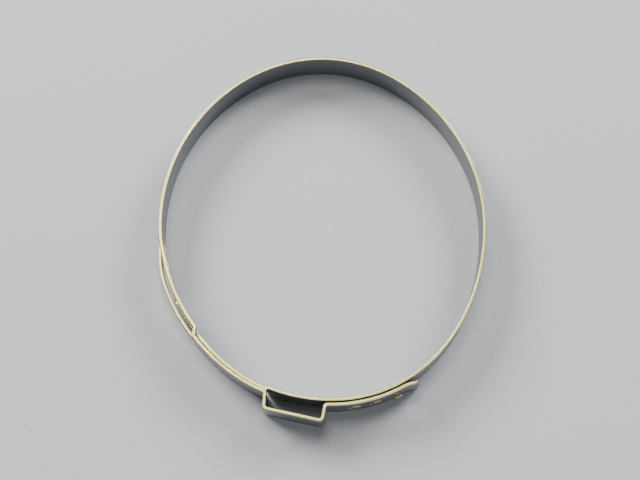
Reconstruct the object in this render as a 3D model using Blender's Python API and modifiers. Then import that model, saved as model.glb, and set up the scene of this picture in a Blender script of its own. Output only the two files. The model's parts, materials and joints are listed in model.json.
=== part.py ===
"""Stepless ear clamp: one stainless strip rolled into a ring, lying on its side edge.

The ring's axis is +Z. Bearings are in degrees, clockwise seen from above: 0 is +X and 90 is -Y,
the side with the ear. The strip runs from the tongue's tip, under the ear, round the ring to the
tongue channel, then up over the ear and along the windowed strap that hooks back on the inner band.
The strip is parted where it bends in use, so each stretch between two bends is a piece of its own.
"""
import math

import bmesh
import bpy
from mathutils import Matrix, Vector

# Strip, in metres
BAND_WIDTH = 0.010
BAND_THICKNESS = 0.0008
LAP_GAP = 0.0003
LAP = BAND_THICKNESS + LAP_GAP
PIECE_GAP = 0.0003

# Ring centreline: a mean radius, four waves round it (order, height, bearing of a crest), one flat spot
MEAN_RADIUS = 0.03864
WAVES = (
    (2, 0.00159, 84.1),
    (3, 0.00020, 47.1),
    (4, 0.00014, 73.6),
    (5, 0.00011, 59.2),
)
FLAT_BEARING = 138.0
FLAT_HALF_SPAN = 32.0
FLAT_DEPTH = 0.00042
STEP_DEGREES = 2.0
FINE_STEP_DEGREES = 1.0

# Flexures, as bearings; those past 360 belong to the inner layer of the overlap
LEFT_FLEXURES = (265.0, 236.0, 207.0, 178.0, 136.5)
RIGHT_FLEXURES = (294.0, 323.0, 352.0, 381.0)
RELEASE_BEARING = 398.0
LATCH_START = 410.0
LATCH_END = 446.0
TONGUE_ROOT = 467.8
TONGUE_TIP = 514.0

# Tongue channel
TONGUE_WIDTH = 0.0034
SLOT_WIDTH = 0.0040
STEP_START = 138.2
STEP_END = 140.9
RAIL_INSET = 0.00038
RAIL_EASE_START = 166.0
BRIDGE_RISE = 0.00118
BRIDGE_FULL = 160.0
BRIDGE_END = 176.0

# Ear: bearings of the feet, crown corners in the plane of the ring, bend radius on the inner face
FOOT_LEFT = 108.7
FOOT_RIGHT = 89.3
FOOT_RUN_UP = 2.5
CROWN_LEFT = Vector((-0.01320, -0.04195))
CROWN_RIGHT = Vector((-0.00020, -0.04480))
BEND_RADIUS = 0.00035
BEND_STEPS = 4

# Strap, hooks and windows, as bearings and lengths along the strap
STRAP_HINGE = 85.8
STRAP_END = 59.8
FLARE_START = 64.0
FLARE_HEIGHT = 0.0010
HOOK_BEARINGS = (79.3, 72.75)
GUIDE_BEARING = 66.2
HOOK_LENGTH = 0.0015
GUIDE_LENGTH = 0.0012
HOOK_WIDTH = 0.0032
HOOK_PROUD = 0.00025
GUIDE_PROUD = 0.0009
HOOK_RAMP = 0.0005
WINDOW_WIDTH = 0.0040
WINDOW_TRAVEL = 0.0011
WINDOW_BEARING_GAP = 0.00035
CUTTER_DEPTH = 0.0032

MID_WIDTH = BAND_WIDTH / 2
HALF = BAND_THICKNESS / 2


# ---------------------------------------------------------------- scene
def clear_scene():
    for item in list(bpy.data.objects):
        bpy.data.objects.remove(item, do_unlink=True)


def new_collection(name):
    collection = bpy.data.collections.new(name)
    bpy.context.scene.collection.children.link(collection)
    return collection


def steel(name, colour, roughness):
    material = bpy.data.materials.new(name)
    material.use_nodes = True
    shader = material.node_tree.nodes["Principled BSDF"]
    shader.inputs["Base Color"].default_value = (*colour, 1.0)
    shader.inputs["Roughness"].default_value = roughness
    shader.inputs["Metallic"].default_value = 1.0
    return material


# ---------------------------------------------------------------- centrelines
def flush_radius(bearing):
    """Radius of the sealing layer's centreline."""
    radius = MEAN_RADIUS
    for order, height, crest in WAVES:
        radius += height * math.cos(math.radians(order * (bearing - crest)))
    away = abs((bearing - FLAT_BEARING + 180.0) % 360.0 - 180.0) / FLAT_HALF_SPAN
    if away < 1.0:
        radius -= FLAT_DEPTH * 0.5 * (1.0 + math.cos(math.pi * away))
    return radius


def on_ring(bearing, level=0.0):
    radius = flush_radius(bearing) + level
    angle = math.radians(bearing)
    return Vector((radius * math.cos(angle), -radius * math.sin(angle)))


def smooth(value):
    value = min(max(value, 0.0), 1.0)
    return value * value * (3.0 - 2.0 * value)


def sealing_level(bearing):
    return 0.0


def outer_level(bearing):
    return LAP


def rail_level(bearing):
    """The rails step in from the outer layer and run out into the single band."""
    step = smooth((bearing - STEP_START) / (STEP_END - STEP_START))
    run_out = smooth((bearing - RAIL_EASE_START) / (LEFT_FLEXURES[3] - RAIL_EASE_START))
    return LAP + (-RAIL_INSET - LAP) * step + RAIL_INSET * run_out


def bridge_level(bearing):
    """The bridge stays at the outer layer and drops to the single band at the channel's end."""
    rise = LAP + (BRIDGE_RISE - LAP) * smooth((bearing - STEP_START) / (STEP_END - STEP_START))
    fall = min(max((BRIDGE_END - bearing) / (BRIDGE_END - BRIDGE_FULL), 0.0), 1.0)
    return rise * (1.0 - (1.0 - fall) ** 2)


def strap_level(bearing):
    flare = max((FLARE_START - bearing) / (FLARE_START - STRAP_END), 0.0)
    return LAP + FLARE_HEIGHT * flare ** 2


def ring_path(start, end, level=sealing_level, step=STEP_DEGREES):
    count = max(2, round(abs(end - start) / step))
    bearings = [start + (end - start) * i / count for i in range(count + 1)]
    return [on_ring(bearing, level(bearing)) for bearing in bearings]


def bend(before, corner, after):
    """Arc on the centreline round a corner, and the deepest point of its inner face."""
    back = (before - corner).normalized()
    ahead = (after - corner).normalized()
    bisector = (back + ahead).normalized()
    half_angle = back.angle(ahead) / 2
    radius = BEND_RADIUS + HALF
    centre = corner + bisector * (radius / math.sin(half_angle))
    sweep = math.pi / 2 - half_angle
    turn = 1.0 if back.x * ahead.y - back.y * ahead.x < 0.0 else -1.0
    arc = []
    for i in range(2 * BEND_STEPS + 1):
        angle = turn * sweep * (i / BEND_STEPS - 1.0)
        spoke = Matrix.Rotation(angle, 2) @ (-bisector)
        arc.append(centre + spoke * radius)
    return arc, centre - bisector * BEND_RADIUS


def trim_start(points, length):
    points = [point.copy() for point in points]
    while (points[1] - points[0]).length <= length:
        length -= (points[1] - points[0]).length
        points.pop(0)
    points[0] += (points[1] - points[0]).normalized() * length
    return points


def parted(points):
    """Half a piece gap off both ends."""
    points = trim_start(points, PIECE_GAP / 2)
    return trim_start(points[::-1], PIECE_GAP / 2)[::-1]


# ---------------------------------------------------------------- layout
FOOT_L = on_ring(FOOT_LEFT, LAP)
FOOT_R = on_ring(FOOT_RIGHT, LAP)
OUTER_APPROACH = on_ring(FOOT_LEFT + FOOT_RUN_UP, LAP)
STRAP_DEPARTURE = on_ring(FOOT_RIGHT - FOOT_RUN_UP, LAP)

FOOT_L_ARC, FOOT_L_PIVOT = bend(OUTER_APPROACH, FOOT_L, CROWN_LEFT)
CROWN_L_ARC, CROWN_L_PIVOT = bend(FOOT_L, CROWN_LEFT, CROWN_RIGHT)
CROWN_R_ARC, CROWN_R_PIVOT = bend(CROWN_LEFT, CROWN_RIGHT, FOOT_R)
FOOT_R_ARC, FOOT_R_PIVOT = bend(CROWN_RIGHT, FOOT_R, STRAP_DEPARTURE)


def first_half(arc):
    return arc[: BEND_STEPS + 1]


def second_half(arc):
    return arc[BEND_STEPS:]


# Body name: parent body and the pivot of the joint between them
BODIES = {
    "band_top": (None, Vector((0.0, 0.0))),
    "band_left_1": ("band_top", on_ring(LEFT_FLEXURES[0])),
    "band_left_2": ("band_left_1", on_ring(LEFT_FLEXURES[1])),
    "band_left_3": ("band_left_2", on_ring(LEFT_FLEXURES[2])),
    "tongue_channel": ("band_left_3", on_ring(LEFT_FLEXURES[3])),
    "outer_band": ("tongue_channel", on_ring(LEFT_FLEXURES[4], LAP)),
    "ear_left_leg": ("outer_band", FOOT_L_PIVOT),
    "ear_crown": ("ear_left_leg", CROWN_L_PIVOT),
    "ear_right_leg": ("ear_crown", CROWN_R_PIVOT),
    "strap_root": ("ear_right_leg", FOOT_R_PIVOT),
    "strap": ("strap_root", on_ring(STRAP_HINGE, LAP)),
    "band_right_1": ("band_top", on_ring(RIGHT_FLEXURES[0])),
    "band_right_2": ("band_right_1", on_ring(RIGHT_FLEXURES[1])),
    "band_right_3": ("band_right_2", on_ring(RIGHT_FLEXURES[2])),
    "band_right_4": ("band_right_3", on_ring(RIGHT_FLEXURES[3])),
    "inner_band_entry": ("band_right_4", on_ring(RELEASE_BEARING)),
    "inner_band_latch": ("inner_band_entry", on_ring(LATCH_START)),
    "inner_band_ear": ("inner_band_latch", on_ring(LATCH_END)),
    "tongue": ("inner_band_ear", on_ring(TONGUE_ROOT)),
}


def pivot_of(body):
    return BODIES[body][1]


def add_pivots(collection):
    """One empty on each joint's axis, nested the way the strip is joined."""
    empties = {}
    for body, (parent, pivot) in BODIES.items():
        empty = bpy.data.objects.new("pivot_" + body, None)
        collection.objects.link(empty)
        offset = pivot - pivot_of(parent) if parent else pivot
        empty.location = (offset.x, offset.y, 0.0)
        if parent:
            empty.parent = empties[parent]
        empties[body] = empty
    return empties


# ---------------------------------------------------------------- shapes
def link_part(name, mesh, body, material):
    part = bpy.data.objects.new(name, mesh)
    part.data.materials.append(material)
    part.parent = PIVOTS[body]
    PARTS.objects.link(part)
    return part


def add_strip(name, body, points, material, low=0.0, high=BAND_WIDTH):
    """A stretch of strip: its centreline drawn up from low to high, then given its thickness."""
    pivot = pivot_of(body)
    shape = bmesh.new()
    corners = [shape.verts.new((p.x - pivot.x, p.y - pivot.y, low)) for p in points]
    chain = [shape.edges.new(pair) for pair in zip(corners, corners[1:])]
    drawn = bmesh.ops.extrude_edge_only(shape, edges=chain)
    risen = [item for item in drawn["geom"] if isinstance(item, bmesh.types.BMVert)]
    bmesh.ops.translate(shape, verts=risen, vec=(0.0, 0.0, high - low))
    mesh = bpy.data.meshes.new(name)
    shape.to_mesh(mesh)
    shape.free()
    part = link_part(name, mesh, body, material)
    thicken = part.modifiers.new("thickness", "SOLIDIFY")
    thicken.thickness = BAND_THICKNESS
    thicken.offset = 0.0
    thicken.use_even_offset = True
    return part


def strap_frame(bearing, body):
    """A frame on the strap's centreline: X along the strap away from the ear, Y out of the ring."""
    here = on_ring(bearing, LAP)
    ahead = on_ring(bearing - FINE_STEP_DEGREES, LAP)
    along = (ahead - here).normalized()
    outward = Vector((along.y, -along.x))
    place = here - pivot_of(body)
    frame = Matrix.Identity(4)
    frame.col[0][:2] = along
    frame.col[1][:2] = outward
    frame.col[2][:3] = (0.0, 0.0, -1.0)
    frame.translation = (place.x, place.y, MID_WIDTH)
    return frame


def cut_window(part, name, bearing, hook_length):
    """A window through the strap, from just past the hook's bearing face back towards the ear."""
    length = hook_length + WINDOW_TRAVEL + WINDOW_BEARING_GAP
    middle = hook_length / 2 + WINDOW_BEARING_GAP - length / 2
    bpy.ops.mesh.primitive_cube_add(size=1.0)
    cutter = bpy.context.object
    cutter.name = name
    cutter.data.transform(Matrix.Diagonal((length, CUTTER_DEPTH, WINDOW_WIDTH, 1.0)))
    cutter.data.transform(Matrix.Translation((middle, 0.0, 0.0)))
    for collection in list(cutter.users_collection):
        collection.objects.unlink(cutter)
    CUTTERS.objects.link(cutter)
    cutter.parent = part.parent
    cutter.matrix_local = strap_frame(bearing, "strap")
    cutter.hide_render = True
    cutter.display_type = "WIRE"
    cut = part.modifiers.new(name, "BOOLEAN")
    cut.operation = "DIFFERENCE"
    cut.object = cutter


def add_hook(name, bearing, length, proud, material):
    """A hook standing through its window: a ramp on the ear's side, a square bearing face beyond."""
    foot = LAP_GAP - LAP + HALF
    top = HALF + proud
    outline = [
        (-length / 2, foot),
        (length / 2, foot),
        (length / 2, top),
        (HOOK_RAMP - length / 2, top),
        (-length / 2, top - HOOK_RAMP),
    ]
    curve = bpy.data.curves.new(name, "CURVE")
    curve.dimensions = "2D"
    curve.fill_mode = "BOTH"
    curve.extrude = HOOK_WIDTH / 2
    spline = curve.splines.new("POLY")
    spline.points.add(len(outline) - 1)
    for point, (along, outward) in zip(spline.points, outline):
        point.co = (along, outward, 0.0, 1.0)
    spline.use_cyclic_u = True
    hook = bpy.data.objects.new(name, curve)
    hook.data.materials.append(material)
    hook.parent = PIVOTS["inner_band_latch"]
    hook.matrix_local = strap_frame(bearing, "inner_band_latch")
    PARTS.objects.link(hook)
    return hook


# ---------------------------------------------------------------- pieces
def add_single_band(material):
    """The single layer, from the tongue channel over the top to the overlap on the right."""
    stretches = [("band_top", RIGHT_FLEXURES[0], LEFT_FLEXURES[0])]
    for i in range(3):
        stretches.append((f"band_left_{i + 1}", LEFT_FLEXURES[i], LEFT_FLEXURES[i + 1]))
    stops = RIGHT_FLEXURES + (RELEASE_BEARING,)
    for i in range(4):
        stretches.append((f"band_right_{i + 1}", stops[i], stops[i + 1]))
    for body, start, end in stretches:
        add_strip("main_" + body, body, parted(ring_path(start, end)), material)


def add_inner_layer(band, tongue):
    """The layer that seals under the strap and the ear, and the tongue on its end."""
    stretches = (
        ("inner_band_entry", RELEASE_BEARING, LATCH_START),
        ("inner_band_latch", LATCH_START, LATCH_END),
        ("inner_band_ear", LATCH_END, TONGUE_ROOT),
    )
    for body, start, end in stretches:
        add_strip(body, body, parted(ring_path(start, end)), band)
    path = parted(ring_path(TONGUE_ROOT, TONGUE_TIP))
    low = MID_WIDTH - TONGUE_WIDTH / 2
    add_strip("tongue", "tongue", path, tongue, low, low + TONGUE_WIDTH)


def add_tongue_channel(material):
    """Two rails that step in beside the tongue, and the bridge that stays outside it."""
    start = LEFT_FLEXURES[4]
    end = LEFT_FLEXURES[3]
    rails = parted(ring_path(start, end, rail_level, FINE_STEP_DEGREES))
    rail_width = MID_WIDTH - SLOT_WIDTH / 2
    top = BAND_WIDTH - rail_width
    add_strip("channel_rail_lower", "tongue_channel", rails, material, 0.0, rail_width)
    add_strip("channel_rail_upper", "tongue_channel", rails, material, top, BAND_WIDTH)
    low = rail_width + PIECE_GAP
    path = parted(ring_path(start, end, bridge_level))
    add_strip("channel_bridge", "tongue_channel", path, material, low, BAND_WIDTH - low)


def add_ear(band, ear):
    """The outer band up to the ear, its two legs and its crown, each with half of its bends."""
    approach = ring_path(LEFT_FLEXURES[4], FOOT_LEFT + FOOT_RUN_UP, outer_level)
    routes = (
        ("outer_band", approach + first_half(FOOT_L_ARC), band),
        ("ear_left_leg", second_half(FOOT_L_ARC) + first_half(CROWN_L_ARC), ear),
        ("ear_crown", second_half(CROWN_L_ARC) + first_half(CROWN_R_ARC), ear),
        ("ear_right_leg", second_half(CROWN_R_ARC) + first_half(FOOT_R_ARC), ear),
    )
    for name, points, material in routes:
        add_strip(name, name, parted(points), material)


def add_strap(band):
    """The strap beyond the ear, with a window over each hook and a flared end."""
    root = second_half(FOOT_R_ARC) + [STRAP_DEPARTURE, on_ring(STRAP_HINGE, LAP)]
    add_strip("strap_root", "strap_root", parted(root), band)
    path = parted(ring_path(STRAP_HINGE, STRAP_END, strap_level, FINE_STEP_DEGREES))
    strap = add_strip("strap", "strap", path, band)
    for i, bearing in enumerate(HOOK_BEARINGS):
        cut_window(strap, f"window_{i + 1}_cutter", bearing, HOOK_LENGTH)
    cut_window(strap, "guide_window_cutter", GUIDE_BEARING, GUIDE_LENGTH)


def add_hooks(material):
    for i, bearing in enumerate(HOOK_BEARINGS):
        add_hook(f"support_hook_{i + 1}", bearing, HOOK_LENGTH, HOOK_PROUD, material)
    add_hook("guide_hook", GUIDE_BEARING, GUIDE_LENGTH, GUIDE_PROUD, material)


def footprint_centre():
    """Middle of the whole clamp's box in the plane of the ring."""
    bpy.context.view_layer.update()
    graph = bpy.context.evaluated_depsgraph_get()
    spots = []
    for part in PARTS.objects:
        if part.type == "EMPTY":
            continue
        shown = part.evaluated_get(graph)
        spots += [shown.matrix_world @ vertex.co for vertex in shown.to_mesh().vertices]
        shown.to_mesh_clear()
    middle_x = (min(spot.x for spot in spots) + max(spot.x for spot in spots)) / 2
    middle_y = (min(spot.y for spot in spots) + max(spot.y for spot in spots)) / 2
    return Vector((middle_x, middle_y, 0.0))


clear_scene()
PARTS = new_collection("hose_clamp")
CUTTERS = new_collection("cutters")
PIVOTS = add_pivots(PARTS)

BAND_STEEL = steel("band_steel", (0.62, 0.60, 0.54), 0.32)
EAR_STEEL = steel("ear_steel", (0.64, 0.61, 0.54), 0.30)
CHANNEL_STEEL = steel("channel_steel", (0.60, 0.57, 0.50), 0.34)
TONGUE_STEEL = steel("tongue_steel", (0.60, 0.55, 0.46), 0.34)
HOOK_STEEL = steel("hook_steel", (0.66, 0.64, 0.58), 0.28)

add_single_band(BAND_STEEL)
add_inner_layer(BAND_STEEL, TONGUE_STEEL)
add_tongue_channel(CHANNEL_STEEL)
add_ear(BAND_STEEL, EAR_STEEL)
add_strap(BAND_STEEL)
add_hooks(HOOK_STEEL)
PIVOTS["band_top"].location -= footprint_centre()
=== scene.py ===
"""Stepless ear clamp: the continuous steel strip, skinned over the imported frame."""

import json
import math
from bisect import bisect_right

import bmesh
import bpy
from mathutils import Matrix, Vector


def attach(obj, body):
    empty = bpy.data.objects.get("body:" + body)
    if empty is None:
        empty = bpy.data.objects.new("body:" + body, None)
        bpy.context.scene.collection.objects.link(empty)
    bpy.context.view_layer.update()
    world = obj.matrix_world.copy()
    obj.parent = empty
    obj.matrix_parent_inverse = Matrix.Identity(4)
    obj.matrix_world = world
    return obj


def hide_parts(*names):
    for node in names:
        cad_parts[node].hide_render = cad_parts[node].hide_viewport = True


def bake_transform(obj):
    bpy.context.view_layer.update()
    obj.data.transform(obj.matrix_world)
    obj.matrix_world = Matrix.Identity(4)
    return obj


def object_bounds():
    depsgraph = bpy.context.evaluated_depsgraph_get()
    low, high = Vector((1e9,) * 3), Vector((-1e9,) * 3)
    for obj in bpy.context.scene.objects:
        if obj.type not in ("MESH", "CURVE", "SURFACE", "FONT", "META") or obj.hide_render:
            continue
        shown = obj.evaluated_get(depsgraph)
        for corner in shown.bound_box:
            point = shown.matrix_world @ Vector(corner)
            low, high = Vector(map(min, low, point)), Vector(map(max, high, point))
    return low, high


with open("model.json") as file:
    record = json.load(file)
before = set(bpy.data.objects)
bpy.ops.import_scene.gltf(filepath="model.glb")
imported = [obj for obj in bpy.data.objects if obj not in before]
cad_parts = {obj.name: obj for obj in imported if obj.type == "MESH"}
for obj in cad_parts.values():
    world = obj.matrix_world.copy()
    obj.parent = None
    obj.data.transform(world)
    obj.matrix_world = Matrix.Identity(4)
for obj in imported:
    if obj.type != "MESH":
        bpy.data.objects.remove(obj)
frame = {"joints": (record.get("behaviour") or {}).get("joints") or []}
cad_low, cad_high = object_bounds()

# Lengths are in metres. Bearings are degrees clockwise from +X seen from above. They grow along the
# strip from its outer end to its inner end, so those of the inner layer are past 360. A level is how
# far the strip's mid-plane lies outside the ring's centreline.

# Strip
BAND_WIDTH = 0.010
THICKNESS = 0.0008
LAP = 0.0011
EDGE_ROUND = 0.00017
EDGE_STEPS = 3
MERGE_DISTANCE = 1e-7
PATH_STEP = 0.00045
RING_STEP = 0.25
FINE_RING_STEP = 0.2
SMOOTH_ANGLE = math.radians(40.0)

# Ring centreline: mean radius, waves (order, height, bearing of a crest) and one flat spot
MEAN_RADIUS = 0.03864
WAVES = (
    (2, 0.00159, 84.1),
    (3, 0.00020, 47.1),
    (4, 0.00014, 73.6),
    (5, 0.00011, 59.2),
)
FLAT_BEARING = 138.0
FLAT_HALF_SPAN = 32.0
FLAT_DEPTH = 0.00042

# Tongue channel
TONGUE_LOW = 0.0033
TONGUE_HIGH = 0.0067
RAIL_WIDTH = 0.0030
CHANNEL_START = 137.9
CHANNEL_END = 177.3
STEP_START = 138.2
STEP_END = 140.9
RAIL_INSET = 0.00038
RAIL_EASE_START = 166.0
RAIL_EASE_END = 177.3
RAIL_EASE_WORKED = 173.3
BRIDGE_RISE = 0.00118
BRIDGE_FULL = 160.0
BRIDGE_END = 176.0
SHEAR_GAP = 0.00005

# Main band and inner layer: bearing of each flexure, how far it bends to each side of it, the body
# beyond it, and the CAD nodes that its piece stands for
FLEXURES = (
    (178.0, 0.0005, "band_left_3", ["main_band_left_3"]),
    (207.0, 0.0060, "band_left_2", ["main_band_left_2"]),
    (236.0, 0.0060, "band_left_1", ["main_band_left_1"]),
    (265.0, 0.0060, "band_top", ["main_band_top"]),
    (294.0, 0.0060, "band_right_1", ["main_band_right_1"]),
    (323.0, 0.0060, "band_right_2", ["main_band_right_2"]),
    (352.0, 0.0060, "band_right_3", ["main_band_right_3"]),
    (381.0, 0.0040, "band_right_4", ["main_band_right_4"]),
    (398.0, 0.0035, "inner_band_entry", ["inner_band_entry"]),
    (410.0, 0.0020, "inner_band_latch", []),
)
LATCH_FROM = 415.0
LATCH_TO = 443.0
UNDER_EAR_FLEXURE = 446.0
UNDER_EAR_REACH = 0.0015
UNDER_EAR = 457.0

# Outer layer and ear
OUTER_FLEXURE = 136.5
OUTER_REACH = 0.0009
OUTER_PARTING = 124.0
FOOT_LEFT = 108.7
FOOT_RIGHT = 89.3
FOOT_RUN_UP = 2.5
CROWN_LEFT_OFFSET = (-0.01320, -0.04195)
CROWN_RIGHT_OFFSET = (-0.00020, -0.04480)
BEND_RADIUS = 0.00035
BEND_STEPS = 10
BEND_REACH = 0.0007

# Strap
ROOT_PARTING = 86.6
STRAP_FLEXURE = 85.8
STRAP_REACH = 0.0005
STRAP_START = 83.6
STRAP_END = 59.2
STRAP_CORNER = 0.0009
FLARE_START = 64.0
FLARE_HEIGHT = 0.0010
WINDOW_WIDTH = 0.0040
WINDOW_TRAVEL = 0.0011
WINDOW_CLEARANCE = 0.00035
WINDOW_CORNER = 0.0004

# Hooks: node, bearing, length of the flat top, how far it stands outside the strap's mid-plane, and
# length of the rise
HOOKS = (
    ("support_hook_1", 79.3, 0.0015, 0.00025, 0.0011),
    ("support_hook_2", 72.75, 0.0015, 0.00025, 0.0011),
    ("guide_hook", 66.2, 0.0012, 0.0009, 0.0013),
)
HOOK_WIDTH = 0.0032
HOOK_THICKNESS = THICKNESS * 0.96
HOOK_ROOT = 0.0004
HOOK_STEPS = 14
SLOT_CORNER = 0.0003

# Tongue
FULL_WIDTH_END = 468.35
SHOULDER_CORNER = 0.0004
SHOULDER_FILLET = 0.0006
TONGUE_FLEXURE = 467.8
TONGUE_REACH = 0.002
TONGUE_FROM = 475.0
TONGUE_TIP = 513.8
TONGUE_CORNER = 0.0014

# A blank runs this far past an end that is trimmed, and a route this many degrees past a free end
OVERHANG = 0.002
BLANK_CORNER = 0.0005
ROUTE_PAST_END = 1.0


# ---------------------------------------------------------------- centrelines
def ring_radius(bearing):
    """Radius of the ring's centreline."""
    radius = MEAN_RADIUS
    for order, height, crest in WAVES:
        radius += height * math.cos(math.radians(order * (bearing - crest)))
    away = abs((bearing - FLAT_BEARING + 180.0) % 360.0 - 180.0) / FLAT_HALF_SPAN
    if away < 1.0:
        radius -= FLAT_DEPTH * 0.5 * (1.0 + math.cos(math.pi * away))
    return radius


def from_centre(bearing, level=0.0):
    radius = ring_radius(bearing) + level
    angle = math.radians(bearing)
    return Vector((radius * math.cos(angle), -radius * math.sin(angle)))


def joint_place(name):
    """Where a joint's axis stands, in plan."""
    found = next(joint for joint in frame["joints"] if joint["name"] == name)
    return Vector(found["pos_m"][:2])


# The axis between band_top and band_left_1 is on the centreline at this bearing
KNOWN_BEARING = 265.0
RING_CENTRE = joint_place("band_left_1_flexure") - from_centre(KNOWN_BEARING)
CROWN_LEFT = RING_CENTRE + Vector(CROWN_LEFT_OFFSET)
CROWN_RIGHT = RING_CENTRE + Vector(CROWN_RIGHT_OFFSET)


def on_ring(bearing, level=0.0):
    return RING_CENTRE + from_centre(bearing, level)


def smooth(value):
    value = min(max(value, 0.0), 1.0)
    return value * value * (3.0 - 2.0 * value)


def sealing_level(bearing):
    return 0.0


def outer_level(bearing):
    return LAP


def rail_level(bearing):
    """Steps in from the outer level to inside the ring, and eases back to it."""
    step = smooth((bearing - STEP_START) / (STEP_END - STEP_START))
    run_out = smooth((bearing - RAIL_EASE_START) / (RAIL_EASE_END - RAIL_EASE_START))
    return LAP + (-RAIL_INSET - LAP) * step + RAIL_INSET * run_out


def bridge_level(bearing):
    """Stays outside the tongue, and comes down to the ring past its tip."""
    rise = LAP + (BRIDGE_RISE - LAP) * smooth((bearing - STEP_START) / (STEP_END - STEP_START))
    fall = min(max((BRIDGE_END - bearing) / (BRIDGE_END - BRIDGE_FULL), 0.0), 1.0)
    return rise * (1.0 - (1.0 - fall) ** 2)


def strap_level(bearing):
    """Follows the outer layer and flares outwards at its end."""
    flare = max((FLARE_START - bearing) / (FLARE_START - STRAP_END), 0.0)
    return LAP + FLARE_HEIGHT * flare ** 2


def ring_path(start, end, level=sealing_level, step=RING_STEP):
    count = max(2, round(abs(end - start) / step))
    bearings = [start + (end - start) * i / count for i in range(count + 1)]
    return [on_ring(bearing, level(bearing)) for bearing in bearings]


def bend(before, corner, after):
    """Arc on the centreline round a corner."""
    back = (before - corner).normalized()
    ahead = (after - corner).normalized()
    bisector = (back + ahead).normalized()
    half_angle = back.angle(ahead) / 2
    radius = BEND_RADIUS + THICKNESS / 2
    centre = corner + bisector * (radius / math.sin(half_angle))
    half_sweep = math.pi / 2 - half_angle
    turn = 1.0 if back.x * ahead.y - back.y * ahead.x < 0.0 else -1.0
    points = []
    for i in range(2 * BEND_STEPS + 1):
        angle = turn * half_sweep * (i / BEND_STEPS - 1.0)
        points.append(centre + Matrix.Rotation(angle, 2) @ (-bisector) * radius)
    return points


def even(points):
    """The same path with no stretch longer than a path step."""
    result = [points[0]]
    for here, ahead in zip(points, points[1:]):
        count = max(1, math.ceil((ahead - here).length / PATH_STEP))
        result += [here.lerp(ahead, i / count) for i in range(1, count + 1)]
    return result


def across(tangent):
    """Direction across the strip's thickness."""
    return Vector((tangent.y, -tangent.x))


class Route:
    """A path with its length, read by distance along it."""

    def __init__(self, points):
        self.points = points
        self.marks = [0.0]
        for here, ahead in zip(points, points[1:]):
            self.marks.append(self.marks[-1] + (ahead - here).length)
        self.length = self.marks[-1]
        self.tangents = []
        for i in range(len(points)):
            back = points[max(i - 1, 0)]
            ahead = points[min(i + 1, len(points) - 1)]
            self.tangents.append((ahead - back).normalized())

    def at(self, distance):
        """Place and tangent at a distance along the route."""
        distance = min(max(distance, 0.0), self.length)
        near = min(bisect_right(self.marks, distance), len(self.marks) - 1) - 1
        far = near + 1
        share = (distance - self.marks[near]) / (self.marks[far] - self.marks[near])
        place = self.points[near].lerp(self.points[far], share)
        tangent = self.tangents[near].lerp(self.tangents[far], share).normalized()
        return place, tangent

    def nearest(self, spot):
        """Distance along the route of its point nearest to a spot."""
        best = min(range(len(self.points)), key=lambda i: (self.points[i] - spot).length)
        return self.marks[best]


# ---------------------------------------------------------------- worked steel
# Where the press has bent the strip: a place in plan, and how far from it the steel is marked
BENT_PLACES = (
    (on_ring(FOOT_LEFT, LAP), 0.0016),
    (CROWN_LEFT, 0.0017),
    (CROWN_RIGHT, 0.0017),
    (on_ring(FOOT_RIGHT, LAP), 0.0016),
    (on_ring(STEP_START, LAP), 0.0022),
    (on_ring(STEP_END), 0.0022),
    (on_ring(RAIL_EASE_WORKED), 0.0060),
)
PUNCHED_PLACES = tuple(on_ring(bearing, LAP) for _, bearing, _, _, _ in HOOKS)
PUNCHED_REACH = 0.0032


def worked_share(spot):
    """How much the press has worked the steel here: 1 at a bend, step or hook, 0 on plain strip."""
    aways = [(spot.xy - place).length / reach for place, reach in BENT_PLACES]
    for place in PUNCHED_PLACES:
        centre = Vector((*place, BAND_WIDTH / 2))
        aways.append((spot - centre).length / PUNCHED_REACH)
    return 1.0 - smooth(min(aways))


# ---------------------------------------------------------------- meshes
def weighted_normals(shape):
    """Corner normals led by the larger faces, so that flats shade flat up to their rounded edges."""
    keep = math.cos(SMOOTH_ANGLE)
    normals = []
    for face in shape.faces:
        for vert in face.verts:
            total = Vector()
            for other in vert.link_faces:
                if other.normal.dot(face.normal) > keep:
                    total += other.normal * other.calc_area()
            normals.append(total.normalized())
    return normals


def finish_mesh(name, shape):
    """Object from a closed shape, facing out, with its normals and its worked share."""
    bmesh.ops.recalc_face_normals(shape, faces=shape.faces)
    if shape.calc_volume(signed=True) < 0.0:
        bmesh.ops.reverse_faces(shape, faces=shape.faces)
    normals = weighted_normals(shape)
    mesh = bpy.data.meshes.new(name)
    shape.to_mesh(mesh)
    shape.free()
    mesh.shade_smooth()
    mesh.set_sharp_from_angle(angle=SMOOTH_ANGLE)
    mesh.normals_split_custom_set(normals)
    worked = mesh.attributes.new("worked", "FLOAT", "POINT")
    for vert in mesh.vertices:
        worked.data[vert.index].value = worked_share(vert.co)
    piece = bpy.data.objects.new(name, mesh)
    bpy.context.scene.collection.objects.link(piece)
    return piece


def arc(x, y, radius, start, end, steps):
    """Points on an arc about a centre, from one angle in degrees to another."""
    points = []
    for i in range(steps + 1):
        angle = math.radians(start + (end - start) * i / steps)
        points.append((x + radius * math.cos(angle), y + radius * math.sin(angle)))
    return points


def rounded_box(left, right, low, high, radius, steps=5):
    """Closed flat outline of a rectangle with round corners."""
    outline = arc(right - radius, high - radius, radius, 0.0, 90.0, steps)
    outline += arc(left + radius, high - radius, radius, 90.0, 180.0, steps)
    outline += arc(left + radius, low + radius, radius, 180.0, 270.0, steps)
    outline += arc(right - radius, low + radius, radius, 270.0, 360.0, steps)
    return outline


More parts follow.
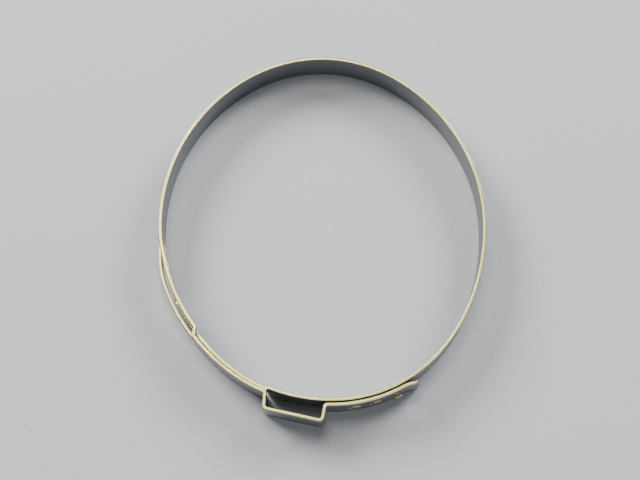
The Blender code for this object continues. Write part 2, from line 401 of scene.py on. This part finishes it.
def sweep(name, points, low=0.0, high=BAND_WIDTH, thickness=THICKNESS):
    """A plain stretch of strip with rounded side edges, closed at both ends."""
    route = Route(even(points))
    outline = rounded_box(-thickness / 2, thickness / 2, low, high, EDGE_ROUND, EDGE_STEPS)
    shape = bmesh.new()
    rings = []
    for place, tangent in zip(route.points, route.tangents):
        side = across(tangent)
        rings.append([shape.verts.new((*(place + side * x), height)) for x, height in outline])
    count = len(outline)
    for near, far in zip(rings, rings[1:]):
        for i in range(count):
            j = (i + 1) % count
            shape.faces.new((near[i], near[j], far[j], far[i]))
    shape.faces.new(rings[0])
    shape.faces.new(rings[-1])
    return finish_mesh(name, shape)


def blank_mesh(outlines):
    """A flat stamped blank with rounded edges: X along the strip, Y up its width, Z its thickness."""
    curve = bpy.data.curves.new("blank", "CURVE")
    curve.dimensions = "2D"
    curve.fill_mode = "BOTH"
    curve.extrude = THICKNESS / 2 - EDGE_ROUND
    curve.bevel_depth = EDGE_ROUND
    curve.bevel_resolution = 2
    curve.offset = -EDGE_ROUND
    for outline in outlines:
        spline = curve.splines.new("POLY")
        spline.points.add(len(outline) - 1)
        for point, (along, up) in zip(spline.points, outline):
            point.co = (along, up, 0.0, 1.0)
        spline.use_cyclic_u = True
    holder = bpy.data.objects.new("blank", curve)
    bpy.context.scene.collection.objects.link(holder)
    bpy.context.view_layer.update()
    graph = bpy.context.evaluated_depsgraph_get()
    mesh = bpy.data.meshes.new_from_object(holder.evaluated_get(graph))
    bpy.data.objects.remove(holder, do_unlink=True)
    shape = bmesh.new()
    shape.from_mesh(mesh)
    bpy.data.meshes.remove(mesh)
    bmesh.ops.remove_doubles(shape, verts=shape.verts, dist=MERGE_DISTANCE)
    return shape


def slice_at(shape, distance, keep="both"):
    """Cuts across the blank and keeps both sides, or closes the one that lies before or beyond."""
    bmesh.ops.bisect_plane(
        shape,
        geom=list(shape.verts) + list(shape.edges) + list(shape.faces),
        dist=MERGE_DISTANCE,
        plane_co=(distance, 0.0, 0.0),
        plane_no=(1.0, 0.0, 0.0),
        clear_outer=keep == "before",
        clear_inner=keep == "beyond",
    )
    if keep != "both":
        rim = [edge for edge in shape.edges if edge.is_boundary]
        bmesh.ops.holes_fill(shape, edges=rim, sides=0)


def formed(name, outlines, route, trim_end=False):
    """A stamped blank, trimmed at the route's start and, if asked, at its end, and bent along it."""
    shape = blank_mesh(outlines)
    slice_at(shape, 0.0, keep="beyond")
    if trim_end:
        slice_at(shape, route.length, keep="before")
    first = min(vert.co.x for vert in shape.verts)
    last = max(vert.co.x for vert in shape.verts)
    count = math.ceil((last - first) / PATH_STEP)
    for i in range(1, count):
        slice_at(shape, first + (last - first) * i / count)
    for vert in shape.verts:
        place, tangent = route.at(vert.co.x)
        spot = place + across(tangent) * vert.co.z
        vert.co = (spot.x, spot.y, vert.co.y)
    return finish_mesh(name, shape)


# ---------------------------------------------------------------- materials
class Nodes:
    """Short names for building a node tree."""

    def __init__(self, material):
        material.use_nodes = True
        self.tree = material.node_tree
        self.shader = self.tree.nodes["Principled BSDF"]

    def new(self, kind, **settings):
        node = self.tree.nodes.new(kind)
        for key, value in settings.items():
            setattr(node, key, value)
        return node

    def link(self, source, target):
        self.tree.links.new(source, target)

    def feed(self, socket, value):
        """Sets a socket to a number or a colour, or links another socket to it."""
        if isinstance(value, (int, float)):
            socket.default_value = value
        elif isinstance(value, tuple):
            socket.default_value = (*value, 1.0)
        else:
            self.link(value, socket)

    def noise(self, along, up, detail, roughness):
        """Noise with so many grains to a metre along the strip's plan and up its width."""
        coordinates = self.new("ShaderNodeTexCoord")
        mapping = self.new("ShaderNodeMapping")
        mapping.inputs["Scale"].default_value = (along, along, up)
        self.link(coordinates.outputs["Object"], mapping.inputs["Vector"])
        node = self.new("ShaderNodeTexNoise")
        node.inputs["Scale"].default_value = 1.0
        node.inputs["Detail"].default_value = detail
        node.inputs["Roughness"].default_value = roughness
        self.link(mapping.outputs["Vector"], node.inputs["Vector"])
        return node.outputs["Fac"]

    def spread(self, value, low, high, to_low=0.0, to_high=1.0):
        """The value's range from low to high, spread over another range and held at its ends."""
        node = self.new("ShaderNodeMapRange")
        node.inputs["From Min"].default_value = low
        node.inputs["From Max"].default_value = high
        node.inputs["To Min"].default_value = to_low
        node.inputs["To Max"].default_value = to_high
        self.link(value, node.inputs["Value"])
        return node.outputs["Result"]

    def math(self, operation, first, second):
        node = self.new("ShaderNodeMath", operation=operation)
        self.feed(node.inputs[0], first)
        self.feed(node.inputs[1], second)
        return node.outputs["Value"]

    def mix(self, share, first, second):
        node = self.new("ShaderNodeMix", data_type="RGBA")
        self.feed(node.inputs[0], share)
        self.feed(node.inputs[6], first)
        self.feed(node.inputs[7], second)
        return node.outputs[2]


# Painted shade: the broad faces of the strip and of the hooks are coloured a dark, cool grey as the
# shade and dark reflections on them.
FACE_SHADE = (0.265, 0.28, 0.305)
HOOK_FACE_SHADE = (0.28, 0.295, 0.315)
DARK_FACE_SHARE = 0.72
STAIN = (0.20, 0.17, 0.13)
# Painted highlight: the strip's upper and lower side edges are coloured bright yellow as the light
# they catch, dimmer at nicks and warmer in patches.
EDGE_HIGHLIGHT = (0.75, 0.72, 0.31)
DIM_EDGE_HIGHLIGHT = (EDGE_HIGHLIGHT[0] * 0.74, EDGE_HIGHLIGHT[1] * 0.68, EDGE_HIGHLIGHT[2] * 0.55)
WARM_EDGE_HIGHLIGHT = (0.86, 0.74, 0.50)
SPOT = (0.13, 0.11, 0.09)
STRAW = (0.50, 0.41, 0.25)


def strip_steel(name, face, roughness, stain):
    """Rolled stainless: grey satin faces with rolling lines in painted shade, sheared side edges in a
    bright, warm painted highlight.
    """
    material = bpy.data.materials.new(name)
    nodes = Nodes(material)
    geometry = nodes.new("ShaderNodeNewGeometry")
    upright = nodes.new("ShaderNodeSeparateXYZ")
    nodes.link(geometry.outputs["Normal"], upright.inputs[0])
    # Share of painted highlight: 1 where the surface faces up or down, 0 on the broad faces, which
    # keep the painted shade.
    edge_highlight_share = nodes.spread(nodes.math("ABSOLUTE", upright.outputs["Z"], 0.0), 0.25, 0.85)
    worked = nodes.new("ShaderNodeAttribute", attribute_name="worked").outputs["Fac"]

    rolling = nodes.noise(90.0, 5200.0, 5.0, 0.62)
    fine_rolling = nodes.noise(260.0, 17000.0, 3.0, 0.6)
    clouds = nodes.noise(210.0, 260.0, 4.0, 0.55)
    spots = nodes.noise(1500.0, 1500.0, 6.0, 0.7)
    nicks = nodes.noise(2400.0, 900.0, 4.0, 0.75)
    drawn = nodes.noise(5200.0, 350.0, 4.0, 0.6)

    # Painted shade on the broad faces, darker along the rolling lines.
    dark_face_shade = tuple(value * DARK_FACE_SHARE for value in face)
    face_shade_colour = nodes.mix(nodes.spread(rolling, 0.30, 0.70), dark_face_shade, face)
    face_shade_colour = nodes.mix(nodes.spread(clouds, 0.45, 0.75, 0.0, stain), face_shade_colour, STAIN)
    edge_highlight_colour = nodes.mix(nodes.spread(nicks, 0.36, 0.66), DIM_EDGE_HIGHLIGHT, EDGE_HIGHLIGHT)
    edge_highlight_colour = nodes.mix(nodes.spread(clouds, 0.35, 0.75, 0.0, 0.35), edge_highlight_colour, WARM_EDGE_HIGHLIGHT)
    colour = nodes.mix(edge_highlight_share, face_shade_colour, edge_highlight_colour)
    colour = nodes.mix(nodes.spread(spots, 0.62, 0.74, 0.0, 0.55), colour, SPOT)
    straw = nodes.math("MULTIPLY", worked, nodes.spread(drawn, 0.30, 0.70, 0.22, 0.48))
    colour = nodes.mix(straw, colour, STRAW)
    nodes.link(colour, nodes.shader.inputs["Base Color"])

    rough = nodes.spread(rolling, 0.25, 0.75, roughness - 0.07, roughness + 0.10)
    rough = nodes.math("SUBTRACT", rough, nodes.math("MULTIPLY", worked, 0.05))
    rough = nodes.math("ADD", rough, nodes.spread(spots, 0.55, 0.75, 0.0, 0.18))
    nodes.link(rough, nodes.shader.inputs["Roughness"])
    nodes.shader.inputs["Metallic"].default_value = 1.0

    rolled = nodes.math("MULTIPLY", rolling, 0.55)
    rolled = nodes.math("ADD", rolled, nodes.math("MULTIPLY", fine_rolling, 0.3))
    height = nodes.math("ADD", rolled, nodes.math("MULTIPLY", nicks, 0.5))
    drawn_here = nodes.math("MULTIPLY", drawn, worked)
    height = nodes.math("ADD", height, nodes.math("MULTIPLY", drawn_here, 0.9))
    bump = nodes.new("ShaderNodeBump")
    bump.inputs["Strength"].default_value = 0.35
    bump.inputs["Distance"].default_value = 0.00004
    nodes.link(height, bump.inputs["Height"])
    nodes.link(bump.outputs["Normal"], nodes.shader.inputs["Normal"])
    return material


# One steel for each of the record's material slots
STEELS = {f"{part}_steel": strip_steel(f"{part}_strip", FACE_SHADE, 0.33, 0.35)
          for part in ("band", "ear", "channel", "tongue")}
STEELS["hook_steel"] = strip_steel("hook_strip", HOOK_FACE_SHADE, 0.30, 0.20)


# ---------------------------------------------------------------- pieces
def dress(piece, slot, stood_for):
    """The piece's steel, and the CAD nodes that it stands for."""
    piece.data.materials.append(STEELS[slot])
    if stood_for:
        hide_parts(*stood_for)


def bend_at(piece, points, pivot, reach):
    """Finds the stretch within reach of the pivot on each side, and bakes the piece's placement into
    its mesh.
    """
    route = Route(even(points))
    middle = route.nearest(pivot)
    start, _ = route.at(middle - reach)
    end, _ = route.at(middle + reach)
    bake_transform(piece)


def across_flexure(name, points, pivot, reach, slot, stood_for):
    """A plain stretch of strip over one flexure."""
    piece = sweep(name, points)
    bend_at(piece, points, pivot, reach)
    dress(piece, slot, stood_for)


def add_main_band():
    """The single layer and the plain part of the inner layer, one piece over each flexure."""
    bearings = [flexure[0] for flexure in FLEXURES]
    partings = [(near + far) / 2 for near, far in zip(bearings, bearings[1:])]
    ends = [CHANNEL_END, *partings, LATCH_FROM]
    for i, (bearing, reach, beyond, stood_for) in enumerate(FLEXURES):
        points = ring_path(ends[i], ends[i + 1])
        pivot = on_ring(bearing)
        across_flexure(f"strip_band_{i + 1}", points, pivot, reach, "band_steel", stood_for)
    across_flexure(
        f"strip_band_{len(FLEXURES) + 1}",
        ring_path(LATCH_TO, UNDER_EAR),
        on_ring(UNDER_EAR_FLEXURE),
        UNDER_EAR_REACH,
        "band_steel",
        ["inner_band_ear"],
    )


def add_channel():
    """Rails beside the tongue, and the bridge outside it."""
    rails = ring_path(CHANNEL_START, CHANNEL_END, rail_level)
    bridge = ring_path(CHANNEL_START, CHANNEL_END, bridge_level)
    pieces = (
        ("channel_rail_lower", rails, 0.0, RAIL_WIDTH),
        ("channel_rail_upper", rails, BAND_WIDTH - RAIL_WIDTH, BAND_WIDTH),
        ("channel_bridge", bridge, RAIL_WIDTH + SHEAR_GAP, BAND_WIDTH - RAIL_WIDTH - SHEAR_GAP),
    )
    for node, points, low, high in pieces:
        piece = sweep("strip_" + node, points, low, high)
        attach(piece, "tongue_channel")
        dress(piece, "channel_steel", [node])


def add_ear():
    """The outer layer, up and over the ear, and down to the strap: one piece over each bend."""
    across_flexure(
        "strip_outer_band_1",
        ring_path(OUTER_PARTING, CHANNEL_START, outer_level)[::-1],
        on_ring(OUTER_FLEXURE, LAP),
        OUTER_REACH,
        "band_steel",
        [],
    )
    corners = (
        on_ring(FOOT_LEFT + FOOT_RUN_UP, LAP),
        on_ring(FOOT_LEFT, LAP),
        CROWN_LEFT,
        CROWN_RIGHT,
        on_ring(FOOT_RIGHT, LAP),
        on_ring(FOOT_RIGHT - FOOT_RUN_UP, LAP),
    )
    arcs = [bend(*corners[i:i + 3]) for i in range(4)]
    left, crown, right = (near[-1].lerp(far[0], 0.5) for near, far in zip(arcs, arcs[1:]))
    lead = ring_path(OUTER_PARTING, FOOT_LEFT + FOOT_RUN_UP, outer_level)
    tail = [corners[-1], on_ring(ROOT_PARTING, LAP)]
    bodies = ("outer_band", "ear_left_leg", "ear_crown", "ear_right_leg", "strap_root")
    bends = (
        ("outer_band_2", lead + arcs[0] + [left]),
        ("ear_left", [left] + arcs[1] + [crown]),
        ("ear_right", [crown] + arcs[2] + [right]),
        ("ear_foot", [right] + arcs[3] + tail),
    )
    for i, (name, points) in enumerate(bends):
        pivot = arcs[i][BEND_STEPS]
        across_flexure("strip_" + name, points, pivot, BEND_REACH, "ear_steel", [bodies[i]])
    across_flexure(
        "strip_strap_root",
        ring_path(ROOT_PARTING, STRAP_START, outer_level),
        on_ring(STRAP_FLEXURE, LAP),
        STRAP_REACH,
        "band_steel",
        ["strap_root"],
    )


def add_strap():
    """The windowed strap with its round-cornered, flared end."""
    last = STRAP_END - ROUTE_PAST_END
    route = Route(ring_path(STRAP_START, last, strap_level, FINE_RING_STEP))
    end = route.nearest(on_ring(STRAP_END, LAP + FLARE_HEIGHT))
    outlines = [rounded_box(-OVERHANG, end, 0.0, BAND_WIDTH, STRAP_CORNER, steps=8)]
    low = (BAND_WIDTH - WINDOW_WIDTH) / 2
    for _, bearing, length, _, _ in HOOKS:
        middle = route.nearest(on_ring(bearing, LAP))
        far = middle + length / 2 + WINDOW_CLEARANCE
        near = far - length - WINDOW_CLEARANCE - WINDOW_TRAVEL
        outlines.append(rounded_box(near, far, low, low + WINDOW_WIDTH, WINDOW_CORNER))
    strap = formed("strip_strap", outlines, route)
    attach(strap, "strap")
    dress(strap, "band_steel", ["strap"])


def hook_path(route, far, length, proud, rise):
    """Centreline of a lanced hook: out of the inner layer on the ear's side, square at its far end."""
    run = length + rise
    points = []
    for i in range(HOOK_STEPS + 1):
        share = i / HOOK_STEPS
        place, tangent = route.at(far - run * (1.0 - share))
        level = (LAP + proud) * smooth(share * run / rise)
        points.append(place + across(tangent) * level)
    root = points[0] + (points[0] - points[1]).normalized() * HOOK_ROOT
    return [root] + points


def add_latch():
    """The inner layer under the strap, with a slot under each hook, and the lanced hooks."""
    route = Route(ring_path(LATCH_TO - 360.0, LATCH_FROM - 360.0, step=FINE_RING_STEP))
    outlines = [rounded_box(-OVERHANG, route.length + OVERHANG, 0.0, BAND_WIDTH, BLANK_CORNER)]
    low = (BAND_WIDTH - HOOK_WIDTH) / 2
    high = BAND_WIDTH - low
    for node, bearing, length, proud, rise in HOOKS:
        far = route.nearest(on_ring(bearing)) + length / 2
        near = far - length - rise
        slot = (near, far + SHEAR_GAP, low - SHEAR_GAP, high + SHEAR_GAP)
        outlines.append(rounded_box(*slot, SLOT_CORNER))
        points = hook_path(route, far, length, proud, rise)
        hook = sweep("strip_" + node, points, low, high, HOOK_THICKNESS)
        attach(hook, "inner_band_latch")
        dress(hook, "hook_steel", [node])
    latch = formed("strip_latch", outlines, route, trim_end=True)
    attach(latch, "inner_band_latch")
    dress(latch, "band_steel", ["inner_band_latch"])


def add_tongue_root():
    """The full-width end, narrowing at its shoulders to the tongue."""
    route = Route(ring_path(UNDER_EAR, TONGUE_FROM, step=FINE_RING_STEP))
    shoulder = route.nearest(on_ring(FULL_WIDTH_END))
    corner = SHOULDER_CORNER
    fillet = SHOULDER_FILLET
    upper = [(-OVERHANG, BAND_WIDTH)]
    upper += arc(shoulder - corner, BAND_WIDTH - corner, corner, 90.0, 0.0, steps=6)
    upper += arc(shoulder + fillet, TONGUE_HIGH + fillet, fillet, 180.0, 270.0, steps=6)
    upper.append((route.length + OVERHANG, TONGUE_HIGH))
    lower = [(along, BAND_WIDTH - up) for along, up in reversed(upper)]
    root = formed("strip_tongue_root", [upper + lower], route, trim_end=True)
    pivot = on_ring(TONGUE_FLEXURE)
    bend_at(root, route.points, pivot, TONGUE_REACH)
    dress(root, "band_steel", [])


def add_tongue():
    """The tongue in the channel, with its round tip."""
    last = TONGUE_TIP + ROUTE_PAST_END
    route = Route(ring_path(TONGUE_FROM, last, step=FINE_RING_STEP))
    tip = route.nearest(on_ring(TONGUE_TIP))
    outline = rounded_box(-OVERHANG, tip, TONGUE_LOW, TONGUE_HIGH, TONGUE_CORNER, steps=10)
    tongue = formed("strip_tongue", [outline], route)
    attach(tongue, "tongue")
    dress(tongue, "tongue_steel", ["tongue"])


# ---------------------------------------------------------------- stage
# Soft lights that face the origin: name, place, diameter, power and colour
LIGHTS = (
    ("key", (-0.48, 0.44, 0.46), 0.40, 7.8, (1.0, 0.98, 0.95)),
    ("back", (0.46, 0.46, 0.46), 0.40, 5.5, (0.96, 0.98, 1.0)),
    ("front", (0.16, -0.56, 0.46), 0.45, 1.0, (0.94, 0.97, 1.0)),
    ("top", (-0.06, 0.23, 0.90), 0.30, 2.4, (1.0, 0.98, 0.94)),
)
SKY_COLOUR = (0.80, 0.84, 0.90, 1.0)
SKY_STRENGTH = 0.09
FLOOR_SIZE = 3.0
FLOOR_DARK = (0.60, 0.61, 0.63)
FLOOR_PALE = (0.64, 0.65, 0.67)

CAMERA_AIM = (-0.00046, -0.00147)
CAMERA_ELEVATION = math.radians(76.0)
CAMERA_DISTANCE = 0.350
CAMERA_LENS = 86.3


def add_floor():
    bpy.ops.mesh.primitive_plane_add(size=FLOOR_SIZE, location=(0.0, 0.0, 0.0))
    floor = bpy.context.object
    floor.name = "floor"
    material = bpy.data.materials.new("pale_floor")
    nodes = Nodes(material)
    grain = nodes.noise(900.0, 900.0, 5.0, 0.6)
    colour = nodes.mix(nodes.spread(grain, 0.3, 0.7), FLOOR_DARK, FLOOR_PALE)
    nodes.link(colour, nodes.shader.inputs["Base Color"])
    nodes.shader.inputs["Roughness"].default_value = 0.8
    floor.data.materials.append(material)


def add_lights():
    for name, place, diameter, power, colour in LIGHTS:
        data = bpy.data.lights.new(name, "AREA")
        data.shape = "DISK"
        data.size = diameter
        data.energy = power
        data.color = colour
        light = bpy.data.objects.new(name, data)
        light.location = place
        light.rotation_euler = (-Vector(place)).to_track_quat("-Z", "Y").to_euler()
        bpy.context.scene.collection.objects.link(light)


def add_world():
    world = bpy.data.worlds.new("studio")
    world.use_nodes = True
    sky = world.node_tree.nodes["Background"]
    sky.inputs["Color"].default_value = SKY_COLOUR
    sky.inputs["Strength"].default_value = SKY_STRENGTH
    bpy.context.scene.world = world


def add_camera():
    """From the ear's side, looking down steeply, with a short telephoto lens."""
    aim = Vector((*CAMERA_AIM, cad_high.z))
    data = bpy.data.cameras.new("camera")
    data.sensor_width = 36.0
    data.lens = CAMERA_LENS
    data.clip_start = 0.01
    camera = bpy.data.objects.new("camera", data)
    direction = Vector((0.0, -math.cos(CAMERA_ELEVATION), math.sin(CAMERA_ELEVATION)))
    offset = direction * CAMERA_DISTANCE
    camera.location = aim + offset
    camera.rotation_euler = (-offset).to_track_quat("-Z", "Y").to_euler()
    bpy.context.scene.collection.objects.link(camera)
    bpy.context.scene.camera = camera


add_camera()
add_main_band()
add_channel()
add_ear()
add_strap()
add_latch()
add_tongue_root()
add_tongue()
add_floor()
add_lights()
add_world()
